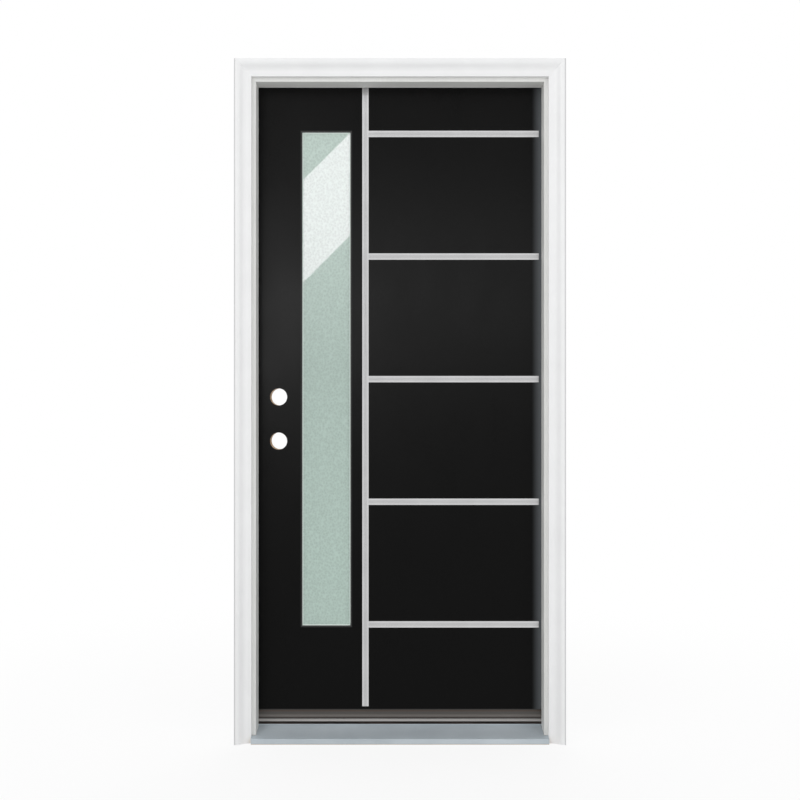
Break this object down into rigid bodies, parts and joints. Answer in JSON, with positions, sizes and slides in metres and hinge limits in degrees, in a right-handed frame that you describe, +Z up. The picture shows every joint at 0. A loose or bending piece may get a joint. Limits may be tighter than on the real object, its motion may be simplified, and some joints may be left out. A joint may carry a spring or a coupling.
{
  "type": "entrance door",
  "caption": "Prehung entrance door: black leaf with a narrow upright glass lite and inlaid metal strips, hinged in a rabbeted frame with brickmould, weatherstrip and ribbed metal sill.",
  "frame": {"origin": "underside of the sill, middle of its width, in the plane of the jambs' outdoor edges and the brickmould's back", "axes": "+Z up, +X towards the hinge side as seen from outdoors, +Y indoors; the door opens towards +Y"},
  "size_m": [1.0202, 0.1665, 2.1101],
  "materials": {
    "jamb_primed": "smooth factory primer over solid wood",
    "brickmould_white": "smooth white factory primer",
    "sill_core_wood": "bare sawn wood",
    "tread_aluminium": "mill finish with fine lengthwise ribs",
    "cap_brown": "dark brown with a moulded wood grain",
    "weatherstrip_white": "soft matt foam cover",
    "skin_black": "satin black glass-fibre skin",
    "stile_wood": "bare planed wood",
    "core_foam": "rigid insulating foam",
    "bead_black": "satin black",
    "glass_obscure": "pale green obscure glass",
    "spacer_metal": "mill finish",
    "trim_stainless": "fine lengthwise brushing",
    "shoe_bronze": "dark bronze, satin",
    "sweep_pale": "matt",
    "hinge_steel": "satin"
  },
  "bodies": {
    "frame": {"hinge_jamb": "jamb_primed", "latch_jamb": "jamb_primed", "head_jamb": "jamb_primed", "brickmould_hinge_side": "brickmould_white", "brickmould_latch_side": "brickmould_white", "brickmould_head": "brickmould_white", "sill_core": "sill_core_wood", "sill_tread": "tread_aluminium", "threshold_cap": "cap_brown", "weatherstrip_hinge_side": "weatherstrip_white", "weatherstrip_latch_side": "weatherstrip_white", "weatherstrip_head": "weatherstrip_white", "hinge_leaf_jamb_top": "hinge_steel", "hinge_pin_top": "hinge_steel", "hinge_leaf_jamb_middle": "hinge_steel", "hinge_pin_middle": "hinge_steel", "hinge_leaf_jamb_bottom": "hinge_steel", "hinge_pin_bottom": "hinge_steel"},
    "leaf": {"skin_exterior": "skin_black", "skin_interior": "skin_black", "latch_stile": "stile_wood", "hinge_stile": "stile_wood", "top_rail": "stile_wood", "bottom_rail": "stile_wood", "foam_core": "core_foam", "glazing_bead_exterior": "bead_black", "glazing_bead_interior": "bead_black", "glass_outer": "glass_obscure", "glass_inner": "glass_obscure", "glass_spacer": "spacer_metal", "trim_upright_exterior": "trim_stainless", "trim_upright_interior": "trim_stainless", "trim_bars_interior": "trim_stainless", "door_shoe": "shoe_bronze", "sweep_fin": "sweep_pale", "trim_bar_top": "trim_stainless", "trim_bar_upper": "trim_stainless", "trim_bar_middle": "trim_stainless", "trim_bar_lower": "trim_stainless", "trim_bar_bottom": "trim_stainless", "hinge_leaf_door_top": "hinge_steel", "hinge_leaf_door_middle": "hinge_steel", "hinge_leaf_door_bottom": "hinge_steel"}
  },
  "joints": [
    {"name": "door_swing", "type": "hinge", "parent": "frame", "child": "leaf", "pos_m": [0.45665, 0.1285, 1.05], "axis": [0, 0, -1], "range_deg": [0, 170]}
  ]
}
